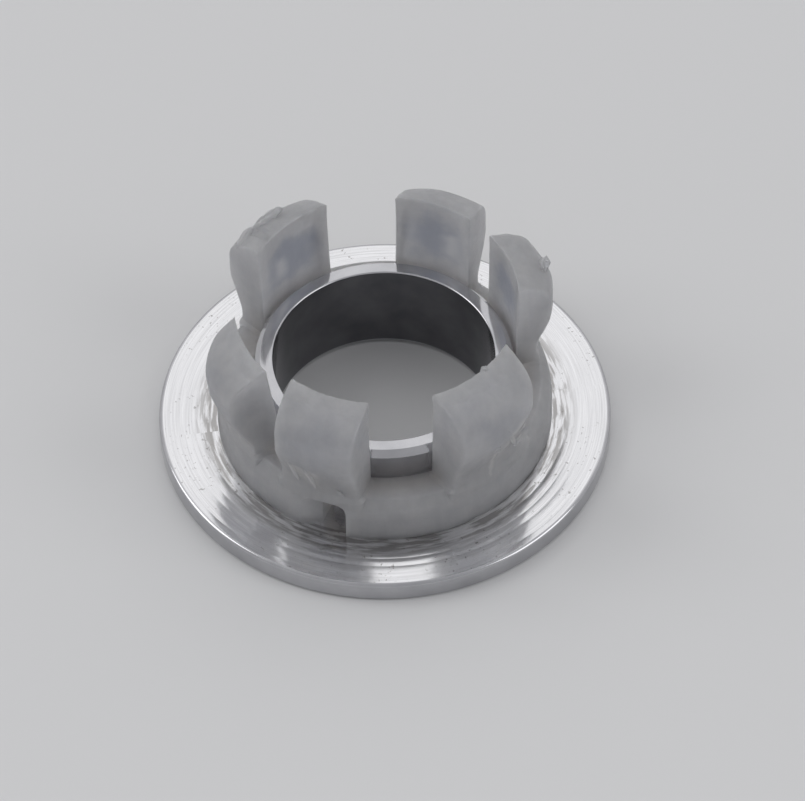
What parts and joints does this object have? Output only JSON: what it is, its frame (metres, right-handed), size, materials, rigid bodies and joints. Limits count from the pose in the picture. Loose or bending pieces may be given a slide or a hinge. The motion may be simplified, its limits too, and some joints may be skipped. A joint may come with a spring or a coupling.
{
  "type": "basin overflow trim ring",
  "caption": "Round metal trim ring with a collar and a barbed plastic snap-in clip, for the overflow hole of a wash basin.",
  "frame": {"origin": "centre of the front face of the flange, which lies on the floor", "axes": "+Z along the ring's axis from the front face towards the finger tips, +Y through the middle of one of the wide gaps between fingers"},
  "size_m": [0.03, 0.03, 0.0127],
  "materials": {
    "plated_metal": "bright plated turning, fine lathe rings on the back of the flange",
    "clip_plastic": "natural milky translucent moulding, satin"
  },
  "bodies": {
    "root": {"flange_ring": "plated_metal", "clip_ring": "clip_plastic"}
  },
  "joints": []
}
